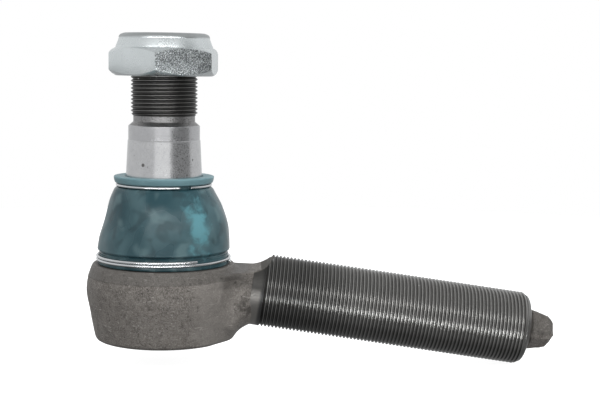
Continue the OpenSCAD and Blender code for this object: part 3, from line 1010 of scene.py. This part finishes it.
f = Finish("zinc")
clouds_wide, speckle, dents = f.noise(9, 3, 0.5), f.noise(0.4, 2, 0.6), f.noise(2.6, 3, 0.6)
reach = f.along((0, 0, 0), (math.cos(blasted_shaded_side), math.sin(blasted_shaded_side), 0))
# One flat: blasted speckle, dark partly as painted shade on the side away from the light.
blasted_and_shaded = f.step(reach, (flat_r - 0.35) * mm, (flat_r - 0.1) * mm)
# Painted shade on the crown: its dark reflection is painted into the colour.
painted_crown_shade = f.step(f.part("Z"), crown_low * mm, (crown_low + 0.7) * mm)
zinc = f.layers(f.mix(clouds_wide, (0.64, 0.68, 0.685), (0.84, 0.88, 0.885)),
                (f.step(speckle, 0.58, 0.7) * 0.25, (0.38, 0.40, 0.41)),
                (blasted_and_shaded * f.step(speckle, 0.38, 0.54), (0.16, 0.172, 0.176)),
                (painted_crown_shade * 0.7, (0.34, 0.35, 0.35)))
rough = 0.22 + clouds_wide * 0.1 + blasted_and_shaded * 0.15 + painted_crown_shade * 0.14
f.paint(nut, Base_Color=zinc, Roughness=rough, Metallic=0.95,
        Normal=f.relief(speckle, 0.03, f.relief(dents, 0.022)))

# %% [markdown]
# ### Boot rubber
# The elastomer is deep blue-green and glossy, with a pale bloom in soft clouds and one
# ragged painted highlight on the front right of the flank. The lip is thinner and paler. Both
# halves share one material, so the clouds run across the seam.

# %% Boot rubber
highlight_at, highlight_stretch = (15.2, -20.5, -17), (1, 1, 0.42)

f = Finish("boot_rubber")
bloom = f.step(f.noise(10, 1, 0.4, stretch=(1, 1, 0.7)), 0.25, 0.85)
fine, waves = f.noise(1.2, 3, 0.6), f.noise(9, 1, 0.4, stretch=(1, 1, 0.8))
smudges = f.step(f.noise(7, 1, 0.3), 0.55, 0.72)
shades = f.step(f.noise(5.5, 1, 0.3, distortion=0.4), 0.52, 0.72)
ragged = (f.noise(4.5, 3, 0.6, distortion=0.5) - 0.5) * (14 * mm)
# A ragged painted highlight, upright on the flank's front right.
painted_highlight = 1 - f.step(f.distance(highlight_at, highlight_stretch) + ragged, 0.5 * mm, 7 * mm)
lip = f.step(f.part("Z"), -3.2 * mm, -2.7 * mm)
rubber = f.layers(f.mix(bloom, (0.012, 0.046, 0.058), (0.062, 0.118, 0.132)),
                  (smudges * 0.45, (0.115, 0.185, 0.195)),
                  (shades * 0.5, (0.008, 0.026, 0.033)),
                  (painted_highlight * 0.9, (0.085, 0.235, 0.270)),
                  (lip * 0.75, (0.155, 0.275, 0.305)))
f.paint(boot_lower, boot_upper, Base_Color=rubber, Roughness=0.22 + bloom * 0.18 + lip * 0.12,
        Specular_IOR_Level=0.38, Normal=f.relief(fine, 0.02, f.relief(waves, 0.7)))

# %% [markdown]
# ### Bright wire
# Spring wire is drawn, so it is bright and only faintly streaked.

# %% Bright wire
f = Finish("bright_wire")
drawn = f.noise(0.6, 3, 0.6)
f.paint(upper_clip, lower_coil, Base_Color=f.mix(drawn, (0.62, 0.64, 0.65), (0.80, 0.81, 0.82)),
        Roughness=0.14 + drawn * 0.12, Metallic=1.0, Normal=f.relief(drawn, 0.01))

# %% [markdown]
# ### The pieces inside
# The shells, plate, spring, cover and seal keep their CAD shapes, which are exact. They
# still get finishes of their own: moulded plastic, oiled steel, pressed steel and rubber.

# %% The inner pieces
def plain_finish(name, dark, pale, size, rough, metallic, depth, *nodes):
    f = Finish(name)
    mottle = f.noise(size, 4, 0.6)
    fine = f.noise(size / 6, 3, 0.6)
    f.paint(*[frame["nodes"][n] for n in nodes], Base_Color=f.mix(mottle, dark, pale),
            Roughness=rough + fine * 0.15, Metallic=metallic,
            Normal=f.relief(mottle * 0.6 + fine * 0.4, depth))


plain_finish("acetal", (0.60, 0.58, 0.50), (0.74, 0.72, 0.64), 5, 0.38, 0.0, 0.02,
             "upper_bearing_shell", "lower_bearing_shell")
plain_finish("oiled_steel", (0.10, 0.10, 0.10), (0.24, 0.24, 0.245), 4, 0.26, 0.95, 0.02,
             "pressure_plate", "preload_spring")
plain_finish("pressed_cover", (0.11, 0.105, 0.095), (0.20, 0.19, 0.175), 6, 0.42, 0.7, 0.05,
             "end_cover")
plain_finish("nylon", (0.66, 0.67, 0.64), (0.80, 0.81, 0.78), 3, 0.36, 0.0, 0.01, "nylon_insert")
plain_finish("seal_rubber", (0.012, 0.012, 0.012), (0.03, 0.03, 0.03), 2, 0.5, 0.0, 0.01,
             "cover_seal_ring")
plain_finish("cad_steel", (0.15, 0.14, 0.13), (0.22, 0.21, 0.20), 4, 0.5, 0.6, 0.03, "housing",
             "ball_stud", "lock_nut", "dust_boot", "boot_top_ring", "boot_bottom_ring")

# %% [markdown]
# ## The studio
# The camera looks slightly down at the joint from half a metre away, turned a little so
# that the bar's end is further off. It is placed by saying where the origin lies in view.

# %% The camera
yaw, pitch_down, roll = math.radians(2.5), math.radians(5.94), math.radians(0.8)
distance, lens = 0.530, 77.9
origin_across, origin_up = -0.1047, 0.0189

level = Vector((math.sin(yaw), math.cos(yaw), 0))
ahead = level * math.cos(pitch_down) - Vector((0, 0, 1)) * math.sin(pitch_down)
right = Vector((math.cos(yaw), -math.sin(yaw), 0))
above = right.cross(ahead)
right, above = (right * math.cos(roll) + above * math.sin(roll),
                above * math.cos(roll) - right * math.sin(roll))
camera_data = bpy.data.cameras.new("camera")
camera_data.lens, camera_data.sensor_width = lens, 36
camera = bpy.data.objects.new("camera", camera_data)
bpy.context.scene.collection.objects.link(camera)
place = -distance * (ahead + right * origin_across + above * origin_up)
camera.matrix_world = (Matrix.Translation(place)
                       @ Matrix((right, above, -ahead)).transposed().to_4x4())
bpy.context.scene.camera = camera

# %% [markdown]
# Polished steel shows the room more than it shows light, so the panels are placed for
# their reflections. A wide dim one by the camera is the bright band on the taper, and a
# long strip above it draws the upper line of light on the thread. The overhead panel only
# lights, and is kept out of the reflections.

# %% The lights
middle = Vector((0.06, 0, -0.02))


def panel(name, azimuth, elevation, away, size, radiance, in_mirrors=True):
    """A soft panel that faces the object; azimuth 0 is at the camera, 90 on the bar's side."""
    light = bpy.data.lights.new(name, "AREA")
    light.shape, light.size, light.size_y = "RECTANGLE", *size
    light.energy = radiance * math.pi * size[0] * size[1]
    lamp = bpy.data.objects.new(name, light)
    bpy.context.scene.collection.objects.link(lamp)
    a, e = math.radians(azimuth), math.radians(elevation)
    towards = Vector((math.sin(a) * math.cos(e), -math.cos(a) * math.cos(e), math.sin(e)))
    lamp.location = middle + towards * away
    lamp.rotation_euler = (-towards).to_track_quat("-Z", "Y").to_euler()
    lamp.visible_camera, lamp.visible_glossy = False, in_mirrors


panel("front", -4, 3, 1.1, (1.0, 0.45), 0.32)
panel("key", 0, 26, 1.0, (1.5, 0.12), 4.3)
panel("top", 20, 80, 1.0, (1.3, 1.0), 2.9, in_mirrors=False)
panel("fill", 62, 8, 0.9, (0.6, 0.6), 2.8, in_mirrors=False)

# %% [markdown]
# The room is an even grey, darker overhead and below, with a dark flag on the right front
# that gives the steel its dark upright band, and one bright strip low in front, which is
# the lower line of light on the thread. The camera sees plain white behind the object.

# %% The room
world = bpy.data.worlds.new("studio")
bpy.context.scene.world = world
world.use_nodes = True
room = Shading(world.node_tree)
look = room.node("ShaderNodeTexCoord", {}, out="Generated")
level_y = room.node("ShaderNodeSeparateXYZ", {}, look, out="Y")
level_z = room.node("ShaderNodeSeparateXYZ", {}, look, out="Z")
flag_at, flag_wide = math.radians(59), math.radians(34)
towards_flag = room.vector("DOT_PRODUCT", look, (math.sin(flag_at), -math.cos(flag_at), 0),
                           out="Value")
flag = room.step(towards_flag, math.cos(flag_wide) - 0.05, math.cos(flag_wide) + 0.09)
overhead = room.step(level_z, 0.5, 0.85)
below = 1 - room.step(level_z, -0.3, -0.1)
table_edge = room.between(level_z, -0.325, -0.245, 0.015) * (1 - room.step(level_y, -0.75, -0.6))
strength = (0.74 - flag * 0.42) * (1 - overhead * 0.25) * (1 - below * 0.45) + table_edge * 14
grey = room.node("ShaderNodeBackground", {}, (0.975, 0.988, 1), strength)
white = room.node("ShaderNodeBackground", {}, (1, 1, 1))
camera_ray = room.node("ShaderNodeLightPath", {}, out="Is Camera Ray")
backdrop = room.node("ShaderNodeMixShader", {}, camera_ray, grey, white)
room.feed(room.tree.nodes["World Output"].inputs["Surface"], backdrop)
bpy.context.scene.view_settings.view_transform = "Standard"

# %% [markdown]
# The floor is a plain pale disc, kept out of the reflections and the bounced light so that
# the object's underside sees only the room.

# %% The floor
floor_r, floor_gap = 0.6, 0.001
start_clean()
bpy.ops.mesh.primitive_circle_add(vertices=96, radius=floor_r, fill_type="NGON",
                                  location=(0.05, 0, cad_box[0][2] - floor_gap))
floor = bpy.context.object
floor.name = "floor"
floor.visible_glossy = floor.visible_diffuse = False
f = Finish("pale_floor")
f.paint(floor, Base_Color=(0.4, 0.4, 0.4), Roughness=0.9, Emission_Color=(1, 1, 1),
        Emission_Strength=0.9)

# %% [markdown]
# The last cell prints the CAD box.

# %% Sizes and the end
print("CAD box:", [list(map(float, corner)) for corner in cad_box])
